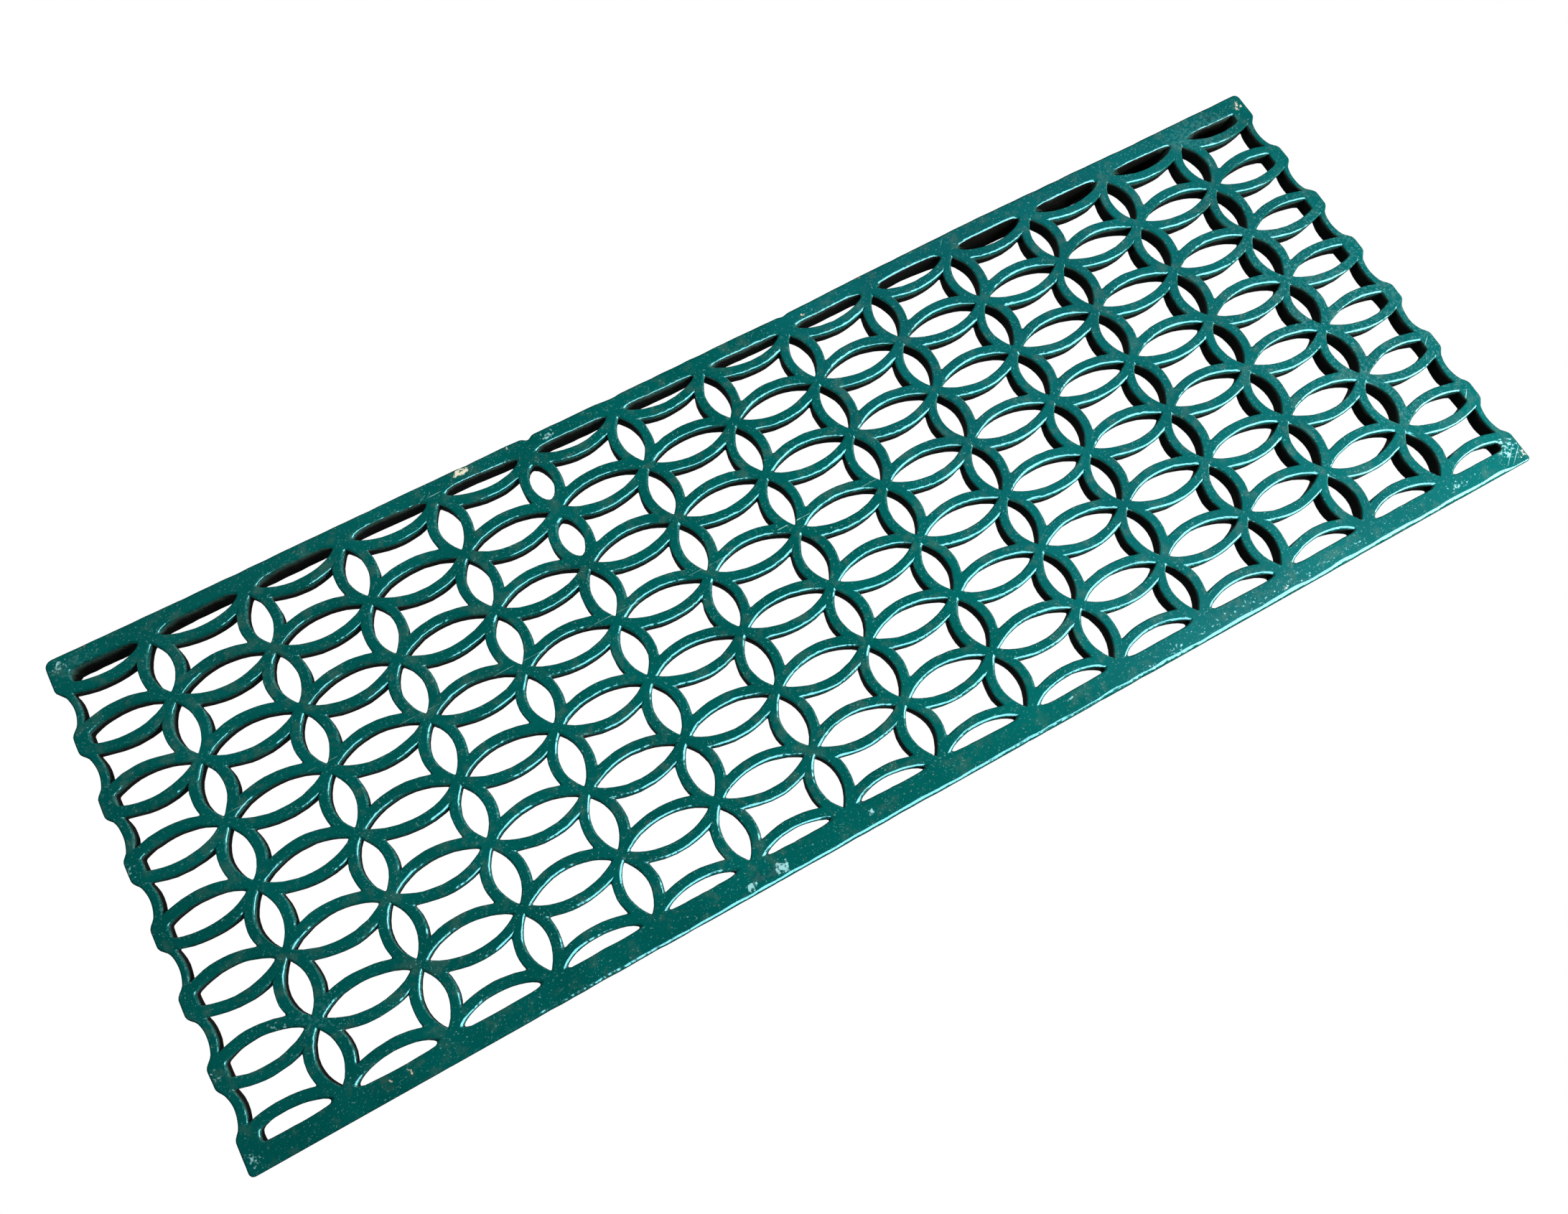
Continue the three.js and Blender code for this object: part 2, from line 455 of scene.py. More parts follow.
@dataclass(frozen=True)
class Outline:
    """The outer edge of the casting, in plan."""

    lattice: Lattice
    near_edge: float = -15.2
    # The far rail's outer edge is bowed: places along the grille and heights over the far row of nodes.
    far_edge: tuple[tuple[float, float], ...] = (
        (0, 15.3), (12, 15.3), (50, 14.8), (100, 14.3), (225, 13.8), (324, 13.2), (340, 12.7), (384, 12.5),
        (397, 11.3), (402, 12.1), (457, 12.4), (522, 12.2), (550, 12.7), (596, 13.9), (650, 14.6),
        (690, 15.1), (798, 14.7), (918, 14.9),
    )
    # Place, depth and spread of each notch in it.
    notches: tuple[tuple[float, float, float], ...] = ((333.4, 2.3, 2.9), (528.0, 1.0, 3.0))
    left_end: EndEdge = EndEdge(
        noses=(2.5, 2.4, 2.4, 2.4, 2.6, 2.4, 2.5, 2.75),
        recesses=(8.1, 9.0, 9.25, 8.5, 8.0, 8.75, 9.5),
        near_corner=3.2,
        far_corner=5.0,
    )
    right_end: EndEdge = EndEdge(
        noses=(3.4, 3.0, 2.3, 2.05, 2.05, 2.3, 2.65, 3.0),
        recesses=(9.7, 8.6, 8.5, 9.0, 9.3, 9.8, 9.7),
        near_corner=2.6,
        far_corner=4.0,
    )
    step: float = 3.6  # between points along a rail
    end_step: float = 1.7  # and along an end
    wobble: Unevenness = Unevenness(8, 9, 30, 0.1)
    drift: Unevenness = Unevenness(9, 60, 200, 0.12)
    most_proud: float = 0.05  # how far the unevenness may stand out from the plan

    def far_at(self, x: Array) -> Array:
        """Finds the far rail's outer edge.

        Args:
            x: Places along the grille.

        Returns:
            The edge's place across it.
        """
        edge = np.interp(x, *zip(*self.far_edge))
        for place, depth, spread in self.notches:
            edge = edge - depth * np.exp(-(((x - place) / spread) ** 2))
        return self.lattice.width + edge

    def points(self) -> Array:
        """Draws the outline anticlockwise from the near left corner.

        Returns:
            Plan points, one a row.
        """
        length, low = self.lattice.length, self.near_edge
        left, right = self.left_end, self.right_end
        left_near, right_near = left.noses[0], length - right.noses[0]
        left_far, right_far = left.noses[-1], length - right.noses[-1]
        parts = [self.corner(left_near, low, left.near_corner, math.pi)]
        parts.append(self.along(left_near + left.near_corner, right_near - right.near_corner, low))
        parts.append(self.corner(right_near, low, right.near_corner, -math.pi / 2))
        top_right = float(self.far_at(np.array(right_far)))
        step = self.end_step
        rise = np.arange(low + right.near_corner + step, top_right - right.far_corner - 1, step)
        parts.append(np.column_stack([length - right.inside(self.lattice, rise), rise]))
        parts.append(self.corner(right_far, top_right, right.far_corner, 0.0))
        back = self.along(left_far + left.far_corner, right_far - right.far_corner, 0.0)[::-1]
        back[:, 1] = self.far_at(back[:, 0])
        parts.append(back)
        top_left = float(self.far_at(np.array(left_far)))
        parts.append(self.corner(left_far, top_left, left.far_corner, math.pi / 2))
        fall = np.arange(top_left - left.far_corner - step, low + left.near_corner + 1, -step)
        parts.append(np.column_stack([left.inside(self.lattice, fall), fall]))
        return self.roughened(np.vstack(parts))

    def roughened(self, points: Array) -> Array:
        """Moves outline points a little along their normals, as a casting's edge is never quite straight."""
        amount = self.wobble.at(points[:, 0], points[:, 1]) + self.drift.at(points[:, 0], points[:, 1])
        return points + self.normals(points) * np.minimum(amount, self.most_proud)[:, None]

    def along(self, start: float, end: float, y: float) -> Array:
        """Lays points along a rail, closer together at its notches.

        Args:
            start: Where the straight part starts.
            end: Where it ends.
            y: Its height across the grille.

        Returns:
            Plan points from start to end.
        """
        places = list(np.linspace(start, end, round((end - start) / self.step))[1:-1])
        for place, _, spread in self.notches:
            places = [x for x in places if abs(x - place) > 2.6 * spread]
            places.extend(np.linspace(place - 2.5 * spread, place + 2.5 * spread, 15))
        places.sort()
        return np.column_stack([places, np.full(len(places), y)])

    def corner(self, x: float, y: float, radius: float, start: float) -> Array:
        """Rounds one corner of the outline.

        Args:
            x: Where the end's edge would meet the rail's.
            y: Where the rail's edge would meet the end's.
            radius: Radius of the corner.
            start: Turn at which the arc starts, anticlockwise.

        Returns:
            Plan points of the arc.
        """
        turns = start + np.linspace(0, math.pi / 2, 6)
        middle = start + math.pi / 4
        centre_x = x - radius * math.copysign(1, math.cos(middle))
        centre_y = y - radius * math.copysign(1, math.sin(middle))
        return np.column_stack([centre_x + radius * np.cos(turns), centre_y + radius * np.sin(turns)])

    @staticmethod
    def normals(points: Array) -> Array:
        """Finds the outward normals of an outline.

        Args:
            points: Plan points of the closed outline, anticlockwise.

        Returns:
            A unit normal for each.
        """
        step = np.roll(points, -1, axis=0) - np.roll(points, 1, axis=0)
        normal = np.column_stack([step[:, 1], -step[:, 0]])
        return normal / np.linalg.norm(normal, axis=1, keepdims=True)


@dataclass(frozen=True)
class WornPlace:
    """A place on a rail where the paint has suffered, in plan, measured from a row of nodes. A few of them
    are painted sheen and sparkle.
    """

    wear: Wear
    row: Row
    x_from: float
    x_to: float
    y_from: float
    y_to: float
    strength: float = 1.0

    def mask(self, lattice: Lattice, x: Array, y: Array) -> Array:
        """Measures how much of the wear each point has.

        Args:
            lattice: The lattice that the row belongs to.
            x: Places along the grille.
            y: Places across it.

        Returns:
            Strength of the wear, from 0 outside the place.
        """
        base = lattice.width if self.row is Row.FAR else 0.0
        half_x, half_y = (self.x_to - self.x_from) / 2, (self.y_to - self.y_from) / 2
        off_x = (x - (self.x_from + self.x_to) / 2) / (half_x + 1.5)
        off_y = (y - base - (self.y_from + self.y_to) / 2) / (half_y + 1.5)
        return self.strength * np.clip(1.6 * (1 - np.hypot(off_x, off_y)), 0, 1)


class PaintNodes:
    """The nodes of one paint, with what its coats read."""

    def __init__(self, tree: Tree) -> None:
        """Lays out the place on the surface in millimetres, the normal and every noise.

        Args:
            tree: The material's empty node tree.
        """
        self.tree = tree
        place = add_node(tree, "ShaderNodeTexCoord").outputs["Object"]
        self.mm = add_node(tree, "ShaderNodeVectorMath", {0: place, "Scale": 1 / MM}, operation="SCALE")
        surface = add_node(tree, "ShaderNodeNewGeometry")
        self.normal = add_node(tree, "ShaderNodeSeparateXYZ", {0: surface.outputs["Normal"]}).outputs
        self.noises = {}
        for noise in Noise:
            size, detail = noise.value
            inputs = {"Vector": self.mm, "Scale": 1 / size, "Detail": detail, "Roughness": 0.55}
            self.noises[noise] = add_node(tree, "ShaderNodeTexNoise", inputs)


@dataclass(frozen=True)
class Scratch:
    """A fine straight scratch across the show face, by its ends in plan."""

    x_from: float
    y_from: float
    x_to: float
    y_to: float
    strength: float
    core: float = 0.16  # how far from its line it is at its strongest
    edge: float = 0.36  # how far from its line it is gone
    fade: float = 4.0  # length over which each end fades

    def share(self, nodes: PaintNodes) -> bpy.types.Node:
        """Finds how strongly each place is scratched.

        Args:
            nodes: The paint's nodes.

        Returns:
            From 0 away from the scratch to its strength.
        """
        tree = nodes.tree
        run = np.array([self.x_to - self.x_from, self.y_to - self.y_from])
        length = float(np.hypot(*run))
        run_x, run_y = (run / length).tolist()
        middle = np.array([self.x_from + self.x_to, self.y_from + self.y_to]) / 2 - PLAN_ORIGIN
        inputs = {0: nodes.mm, 1: (*middle.tolist(), 0.0)}
        off = add_node(tree, "ShaderNodeVectorMath", inputs, operation="SUBTRACT")
        inputs = {0: nodes.noises[Noise.BREAK], 1: 0.4, 2: 0.56, 4: self.strength}
        share = add_node(tree, "ShaderNodeMapRange", inputs)
        for axis, full, gone in (
            ((-run_y, run_x, 0.0), self.core, self.edge),
            ((run_x, run_y, 0.0), length / 2 - self.fade, length / 2),
        ):
            away = add_node(tree, "ShaderNodeVectorMath", {0: off, 1: axis}, operation="DOT_PRODUCT")
            away = add_node(tree, "ShaderNodeMath", {0: away.outputs[1]}, operation="ABSOLUTE")
            within = add_node(tree, "ShaderNodeMapRange", {0: away, 1: full, 2: gone, 3: 1.0, 4: 0.0})
            share = add_node(tree, "ShaderNodeMath", {0: share, 1: within}, operation="MULTIPLY")
        return share


@dataclass(frozen=True)
class TealEnamel:
    """Thick gloss enamel brushed over cast iron.

    It gives the eye a deep, saturated teal with a wet look, an orange-peel skin that breaks the highlights,
    a dark coat low on the walls that is darker towards the bottom and is painted shade where they turn from
    the windows and in sharp corners, pale painted sheen on edges that face the windows and over the right
    end, and pale scuffs, some of them painted sparkle on the near rail, and beige filler where it is worn.
    """

    name: str = "teal_enamel_on_cast_iron"
    deep: str = "#003D39"
    light: str = "#004541"
    # stains, and the dark coat on the walls, which is partly painted shade
    grime_and_shade: str = "#0D0A08"
    dust: str = "#33453E"
    # pale haze, and the painted sheen over the right end
    haze_and_sheen: str = "#5F9A9C"
    # scuffs, and the painted sparkle and sheen on the near rail
    scuffed_and_sparkle: str = "#84B0AF"
    filler: str = "#B9B29A"
    rust: str = "#6B4A34"
    film: str = "#66705C"
    # flecks and scratches, and the painted sheen on edges that face right
    fleck_and_sheen: str = "#86B3AB"
    reflection: str = "#93EFFF"
    ior: float = 1.5
    roughness: float = 0.14
    worn_roughness: float = 0.62
    peel_depth: float = 0.07  # in millimetres, as the next
    sag_depth: float = 0.5
    flat_skin: float = 0.12  # share of the peel and sag that shows where the face is level
    darkening_reach: float = 6.0  # how far up a unit of darkening lifts the dark coat, in millimetres
    ragged: float = 4.0  # how uneven the grime's upper edge is, in millimetres
    scratches: tuple[Scratch, ...] = (
        Scratch(66, 176, 525, 177.5, 0.25),
        Scratch(438, 176.9, 478, 177.6, 0.7),
        Scratch(897, -12, 909, -2, 0.6),
        Scratch(901, -13, 914, -3, 0.5),
        Scratch(893, -9, 903, 1, 0.5),
        Scratch(902, 38, 913, 49, 0.6),
        Scratch(899, 80, 913, 91, 0.5),
        Scratch(653, 307, 659, 313, 0.6),
        Scratch(247, 300, 258, 306, 0.5),
        Scratch(257, 303, 269, 303.4, 0.5),
    )

    def build(self) -> bpy.types.Material:
        """Makes the material.

        Returns:
            The finished material.
        """
        material = bpy.data.materials.new(self.name)
        tree = empty_tree(material)
        nodes = PaintNodes(tree)
        worn = self.worn(nodes)
        colour = linear(self.deep)
        for share, over in (*self.sound(nodes), self.lit_edge_sheen(nodes), *worn.values(), *self.darkened(nodes)):
            inputs = {0: share, 6: colour, 7: linear(over)}
            colour = add_node(tree, "ShaderNodeMix", inputs, data_type="RGBA").outputs[2]
        dull, *others = [share for wear, (share, _) in worn.items() if wear is not Wear.BLOOM]
        for share in others:
            dull = add_node(tree, "ShaderNodeMath", {0: dull, 1: share}, operation="MAXIMUM")
        rough = add_node(tree, "ShaderNodeMapRange", {0: dull, 3: self.roughness, 4: self.worn_roughness})
        inputs = {0: nodes.normal["Z"], 1: 1.0, 2: 0.97, 3: self.flat_skin, 4: 1.0}
        rounding = add_node(tree, "ShaderNodeMapRange", inputs)
        inputs = {"Strength": rounding, "Distance": self.sag_depth * MM, "Height": nodes.noises[Noise.SAG]}
        sagged = add_node(tree, "ShaderNodeBump", inputs)
        inputs |= {"Distance": self.peel_depth * MM, "Height": nodes.noises[Noise.PEEL], "Normal": sagged}
        skin = add_node(tree, "ShaderNodeBump", inputs)
        inputs = {"Base Color": colour, "Roughness": rough, "IOR": self.ior, "Normal": skin}
        inputs["Specular Tint"] = linear(self.reflection)
        shader = add_node(tree, "ShaderNodeBsdfPrincipled", inputs)
        add_node(tree, "ShaderNodeOutputMaterial", {"Surface": shader})
        return material

    def sound(self, nodes: PaintNodes) -> list[Coat]:
        """Finds where the paint lies thinner, and its scratches, dull film and flecks.

        Args:
            nodes: The paint's nodes.

        Returns:
            A coat for each, the lowest first.
        """
        patches = []
        for noise, start, full, most, colour in (
            (Noise.CLOUD, 0.35, 0.65, 1.0, self.light),
            (Noise.FILM, 0.54, 0.68, 0.09, self.film),
            (Noise.FLECK, 0.62, 0.7, 0.32, self.fleck_and_sheen),
        ):
            inputs = {0: nodes.noises[noise], 1: start, 2: full, 4: most}
            patches.append((add_node(nodes.tree, "ShaderNodeMapRange", inputs), colour))
        scratches = [(scratch.share(nodes), self.fleck_and_sheen) for scratch in self.scratches]
        return [patches[0], *scratches, *patches[1:]]

    def lit_edge_sheen(self, nodes: PaintNodes) -> Coat:
        """Finds the rounded edges that face right, towards the windows, and gives them a pale grainy painted
        sheen.

        Args:
            nodes: The paint's nodes.

        Returns:
            Their coat.
        """
        tree = nodes.tree
        turned = add_node(tree, "ShaderNodeMapRange", {0: nodes.normal["X"], 1: 0.15, 2: 0.5})
        inputs = {0: nodes.noises[Noise.GRAIN], 1: 0.46, 2: 0.64, 4: 0.14}
        broken = add_node(tree, "ShaderNodeMapRange", inputs)
        return add_node(tree, "ShaderNodeMath", {0: turned, 1: broken}, operation="MULTIPLY"), self.fleck_and_sheen

    def worn(self, nodes: PaintNodes) -> dict[Wear, Coat]:
        """Finds each wear where the mesh carries it.

        Args:
            nodes: The paint's nodes.

        Returns:
            A coat for each, the lowest first.
        """
        tree = nodes.tree
        coats = {}
        for wear, noise, most, colour in (
            (Wear.BLOOM, Noise.SKIN, 0.09, self.haze_and_sheen),
            (Wear.STAIN, Noise.STAIN, 0.5, self.grime_and_shade),
            (Wear.SCUFF_AND_SPARKLE, Noise.SKIN, 0.75, self.scuffed_and_sparkle),
            (Wear.RUST, Noise.RUST, 0.9, self.rust),
            (Wear.CHIP, Noise.CHIP, 1.0, self.filler),
        ):
            carried = add_node(tree, "ShaderNodeAttribute", attribute_name=wear.value).outputs["Fac"]
            inputs = {0: carried, 1: 0.45, 2: nodes.noises[noise]}
            edge = add_node(tree, "ShaderNodeMath", inputs, operation="MULTIPLY_ADD")
            share = add_node(tree, "ShaderNodeMapRange", {0: edge, 1: 0.78, 2: 0.9, 4: most})
            coats[wear] = (share, colour)
        return coats

    def darkened(self, nodes: PaintNodes) -> list[Coat]:
        """Finds the dust and the dark coat on the lower part of the walls and the underside. The dark coat is
        darker towards the bottom, and the mesh's darkening adds painted shade to it.

        Args:
            nodes: The paint's nodes.

        Returns:
            A coat for each, the lowest first.
        """
        tree = nodes.tree
        height = add_node(tree, "ShaderNodeSeparateXYZ", {0: nodes.mm}).outputs["Z"]
        carried = add_node(tree, "ShaderNodeAttribute", attribute_name=DARKENING).outputs["Fac"]
        inputs = {0: carried, 1: -self.darkening_reach, 2: height}
        low = add_node(tree, "ShaderNodeMath", inputs, operation="MULTIPLY_ADD")
        coats = []
        for noise, top, bottom, most, colour in (
            (Noise.DUST, 5.4, 4.3, 0.8, self.dust),
            (Noise.DARK_COAT, 4.9, 1.5, 0.97, self.grime_and_shade),
        ):
            inputs = {0: nodes.noises[noise], 1: -self.ragged, 2: low}
            lifted = add_node(tree, "ShaderNodeMath", inputs, operation="MULTIPLY_ADD")
            lifted = add_node(tree, "ShaderNodeMath", {0: lifted, 1: self.ragged / 2}, operation="ADD")
            share = add_node(tree, "ShaderNodeMapRange", {0: lifted, 1: top, 2: bottom, 3: 0.0, 4: most})
            coats.append((share, colour))
        return coats


@dataclass(frozen=True)
class WallDarkening:
    """How high up the walls the dark coat reaches, as a share of an ordinary opening's: darker towards the
    bottom, with painted shade and painted light by facing and in corners.
    """

    rail_places: tuple[float, float] = (60.0, 640.0)  # along the far rail, where it has the next two
    rail_more: tuple[float, float] = (0.1, 0.75)
    window_side: tuple[float, float] = (0.5, -0.87)  # plan direction in which the windows are
    shaded_more: float = 0.45  # reaches higher on walls turned away from them, as painted shade
    shaded_less_right: float = 0.1  # and how much less of that painted shade at the right end
    right_from: float = 560.0
    right_over: float = 280.0
    lit_less: float = 0.22  # stays lower on walls turned to them, as painted light
    corner_shade: float = 0.35  # reaches higher where an edge turns sharply, as painted shade
    outer: float = -0.3  # on the casting's outer edge
    underside: float = -1.0

    def on_walls(self, far_row: float, points: Array, normals: Array, corners: Array) -> Array:
        """Measures how high the dark coat reaches on walls: higher as painted shade on walls turned from the
        windows and in sharp corners, lower as painted light on walls turned to them.

        Args:
            far_row: Where the far row of nodes is.
            points: Points on the walls.
            normals: Their normals.
            corners: For each point, from 0 on an even edge to 1 in a corner.

        Returns:
            How high the dark coat reaches at each point.
        """
        x, y = points[:, 0], points[:, 1]
        grime_and_shade = 1 + np.interp(x, self.rail_places, self.rail_more) * smooth_step((y - far_row - 0.5) / 2)
        facing = normals[:, 0] * self.window_side[0] + normals[:, 1] * self.window_side[1]
        right = smooth_step((x - self.right_from) / self.right_over)
        shaded = self.shaded_more - self.shaded_less_right * right
        grime_and_shade += shaded * smooth_step((0.6 - facing) / 0.5)
        grime_and_shade -= self.lit_less * smooth_step((facing - 0.5) / 0.4)
        return grime_and_shade + self.corner_shade * corners


@dataclass(frozen=True)
class GrilleCasting:
    """The whole grille: one iron casting with 301 openings."""

    lattice: Lattice = Lattice()
    thickness: float = 12.7
    opening_edge: EdgeProfile = EdgeProfile(fillet=1.9, lean=0.9, foot=0.5)
    outer_edge: EdgeProfile = EdgeProfile(fillet=1.6, lean=0.1, foot=0.7)
    near_rail_fillets: tuple[float, float] = (1.9, 3.1)  # at its left and right end
    end_fillet: float = 1.3
    crisp_share: float = 0.45  # share of the fillet on edges that face away from the near side
    away_run: tuple[float, float] = (0.98, 0.2)  # plan direction in which such an edge runs
    right_end_crisper: float = 0.2  # how much smaller the fillets are at the right end
    grime_and_shade: WallDarkening = WallDarkening()
    fillet_change: Unevenness = Unevenness(12, 12, 40, 0.09)
    face_heave: Unevenness = Unevenness(14, 16, 45, 0.05)
    left_stops: tuple[float, ...] = (15.7, 13.2, 12.6, 12.9, 13.0, 12.3, 12.6, 14.9)
    right_stops: tuple[float, ...] = (15.5, 13.7, 12.7, 12.7, 14.1, 14.1, 14.1, 16.6)
    near_petal_y: float = 3.6  # centres of the near half petals, over the near row of nodes
    far_petal_y: float = -2.6  # centres of the far half petals, over the far row
    oval_column: int = 5
    oval_rows: tuple[int, ...] = (5, 6)
    thin_until: float = 16.0  # how far from an end the arcs that close it are thin
    thin_over: float = 12.0  # and over what length their edges grow to the usual fillet
    face_sunk: float = 0.1  # how far the show face lies below its highest places
    face_lowest: float = -0.35
    face_grid: float = 5.2  # between points on the show face
    worn_grid: float = 1.9  # between points on its worn places
    underside_grid: float = 9.0
    opening_margin: float = 3.1  # from such a point to an opening
    outer_margin: float = 4.2  # from such a point to the outer edge

    def openings(self, kind: OpeningKind) -> list[Opening]:
        """Lists the openings of one kind.

        Args:
            kind: Which kind.

        Returns:
            All of them, column by column.
        """
        plan = self.lattice
        shape = OPENING_SHAPES[kind]
        found = []
        for column in range(plan.columns):
            left, middle = column * plan.pitch_along, (column + 0.5) * plan.pitch_along
            stops_left = self.left_stops if column == 0 else None
            stops_right = self.right_stops if column == plan.columns - 1 else None
            for row in range(plan.rows + 1):
                y = row * plan.pitch_across
                between = y + plan.pitch_across / 2
                stop_left = stops_left[row] if stops_left else None
                stop_right = plan.length - stops_right[row] if stops_right else None
                if kind is OpeningKind.NEAR_HALF_PETAL and row == 0:
                    found.append(Opening(middle, y + self.near_petal_y, shape, stop_left, stop_right))
                elif kind is OpeningKind.FAR_HALF_PETAL and row == plan.rows:
                    found.append(Opening(middle, y + self.far_petal_y, shape, stop_left, stop_right))
                elif kind is OpeningKind.LEVEL_PETAL and 0 < row < plan.rows:
                    found.append(Opening(middle, y, shape, stop_left, stop_right))
                elif kind is OpeningKind.STAR and row < plan.rows:
                    found.append(Opening(middle, between, shape))
                elif kind is OpeningKind.UPRIGHT_PETAL and row < plan.rows and column > 0:
                    oval = column == self.oval_column and row in self.oval_rows
                    found.append(Opening(left, between, OVAL_SHAPE if oval else shape))
        return found

    def depth_for(self, openings: list[Opening], x: Array, y: Array, sunk: float = 0.0) -> Array:
        """Measures how deep points lie in the iron round their own opening.

        Args:
            openings: One opening for each row of the points.
            x: Places along the grille.
            y: Places across it.
            sunk: How far down the casting they are, from 0 at the show face to 1 at the underside.

        Returns:
            The depths, negative in the open.
        """
        centre_y = np.array([o.y for o in openings])[:, None]
        stretch = np.array([o.shape.stretch for o in openings])[:, None]
        y = centre_y + (y - centre_y) / stretch
        x, y = self.lattice.drifted(x, y)
        depths = self.lattice.iron_depths(x, y, sunk)
        left = np.array([NO_IRON if o.stop_left is None else o.stop_left for o in openings])[:, None]
        right = np.array([BEYOND if o.stop_right is None else o.stop_right for o in openings])[:, None]
        depths.append(np.maximum(left - x, NO_IRON))
        depths.append(np.maximum(x - right, NO_IRON))
        return joined(depths, np.array([o.shape.softness for o in openings])[:, None])

    def reach(
        self, openings: list[Opening], turns: Array, start: Array, level: Array, sunk: float = 0.0
    ) -> Array:
        """Finds how far from its opening's centre the iron reaches a depth, along rays.

        Args:
            openings: The openings.
            turns: Turns of the rays.
            start: Radius on each ray to look outward from.
            level: Depth inside the iron to find on each ray.
            sunk: How far down the casting to look, from 0 at the show face to 1 at the underside.

        Returns:
            The radius on each ray.
        """
        centre_x = np.array([o.x for o in openings])[:, None]
        centre_y = np.array([o.y for o in openings])[:, None]
        cosine, sine = np.cos(turns)[None, :], np.sin(turns)[None, :]
        stride, strides, halvings = 0.4, 110, 12
        high = start.copy()
        for _ in range(strides):
            x, y = centre_x + high * cosine, centre_y + high * sine
            short = self.depth_for(openings, x, y, sunk) < level
            if not short.any():
                break
            high = np.where(short, high + stride, high)
        low = high - stride
        for _ in range(halvings):
            middle = (low + high) / 2
            x, y = centre_x + middle * cosine, centre_y + middle * sine
            short = self.depth_for(openings, x, y, sunk) < level
            low, high = np.where(short, middle, low), np.where(short, high, middle)
        return (low + high) / 2

    def rays(self, opening: Opening, count: int) -> Array:
        """Spreads rays so that they meet an opening's edge closer together where it turns.

        Args:
            opening: A typical opening of its kind.
            count: How many rays.

        Returns:
            Turns of the rays.
        """
        turns = np.linspace(0, 2 * math.pi, 720, endpoint=False)
        zero = np.zeros((1, len(turns)))
        radius = self.reach([opening], turns, zero, zero)[0]
        points = np.column_stack([radius * np.cos(turns), radius * np.sin(turns)])
        step = np.roll(points, -1, axis=0) - points
        length = np.hypot(step[:, 0], step[:, 1])
        heading = np.unwrap(np.arctan2(step[:, 1], step[:, 0]))
        bend = np.abs(np.diff(heading, append=heading[0] + 2 * math.pi))
        bend = np.convolve(np.concatenate([bend[-3:], bend, bend[:3]]), np.ones(7) / 7, mode="valid")
        weight = np.concatenate([[0], np.cumsum(length / 4.0 + bend / math.radians(24))])
        places = np.linspace(0, weight[-1], count, endpoint=False)
        spread = np.interp(places, weight, np.concatenate([turns, [2 * math.pi]]))
        for number in np.flatnonzero((bend > np.roll(bend, 1)) & (bend >= np.roll(bend, -1)) & (bend > 0.05)):
            away = np.abs(np.angle(np.exp(1j * (spread - turns[number]))))
            spread[np.argmin(away)] = turns[number]
        return np.sort(spread)

    def rims(self, kind: OpeningKind) -> list[Array]:
        """Carries the edge of every opening of one kind down through the casting.

        Args:
            kind: Which kind of opening.

        Returns:
            For each opening, its points as steps of the section by points by X, Y and height.
        """
        stacks = []
        count = OPENING_SHAPES[kind].points
        whole = self.openings(kind)
        for open_ends in ((True, True), (False, True), (True, False)):
            group = [o for o in whole if (o.stop_left is None, o.stop_right is None) == open_ends]
            if not group:
                continue
            turns = self.rays(group[len(group) // 2], count)
            centre_x = np.array([o.x for o in group])[:, None]
            centre_y = np.array([o.y for o in group])[:, None]
            zero = np.zeros((len(group), count))
            start = self.reach(group, turns, zero, zero)
            edge_x = centre_x + start * np.cos(turns)
            edge_y = centre_y + start * np.sin(turns)
            step_x = np.roll(edge_x, -1, axis=1) - np.roll(edge_x, 1, axis=1)
            step_y = np.roll(edge_y, -1, axis=1) - np.roll(edge_y, 1, axis=1)
            run = self.away_run[0] * step_x + self.away_run[1] * step_y
            facing_away = run / np.hypot(step_x, step_y)
            crisp = self.crisp_share + (1 - self.crisp_share) * smooth_step((0.3 - facing_away) / 0.9)
            crisp = crisp * (1 - self.right_end_crisper * smooth_step((edge_x - 520) / 330))
            fillet = self.fillet_at(self.opening_edge.fillet * crisp, edge_x, edge_y)
            layers = []
            for depth, unit, fixed in self.opening_edge.steps(self.thickness):
                level = fillet * unit + fixed
                below = -depth if depth < 0 else fillet * depth
                if depth < 0 and kind is OpeningKind.FAR_HALF_PETAL:
                    radius = self.reach(group, turns, zero, level, -depth / self.thickness)
                else:
                    radius = start if unit < 1e-6 and fixed == 0 else self.reach(group, turns, start, level)
                x, y = centre_x + radius * np.cos(turns), centre_y + radius * np.sin(turns)
                layers.append(np.stack([x, y, self.height(x, y, below)], axis=-1))
            stacks.extend(np.stack(layers, axis=1))
        return stacks

    def fillet_at(self, fillet: Array | float, x: Array, y: Array) -> Array:
        """Varies a fillet a little, and makes it smaller on the thin arcs that close the ends.

        Args:
            fillet: Its usual radius.
            x: Places along the grille.
            y: Places across it.

        Returns:
            Its radius at each place.
        """
        from_end = np.minimum(x, self.lattice.length - x)
        varied = fillet * (1 + self.fillet_change.at(x, y))
        thin = np.minimum(varied, self.end_fillet)
        return thin + (varied - thin) * smooth_step((from_end - self.thin_until) / self.thin_over)

    def height(self, x: Array, y: Array, below: Array | float) -> Array:
        """Turns a depth below the show face into a height, with the face's slight heave.

        Args:
            x: Places along the grille.
            y: Places across it.
            below: Depth below the show face.

        Returns:
            Heights over the underside.
        """
        heave = np.clip(self.face_heave.at(x, y) - self.face_sunk, self.face_lowest, 0.0)
        return self.thickness - below + heave * (1 - below / self.thickness)

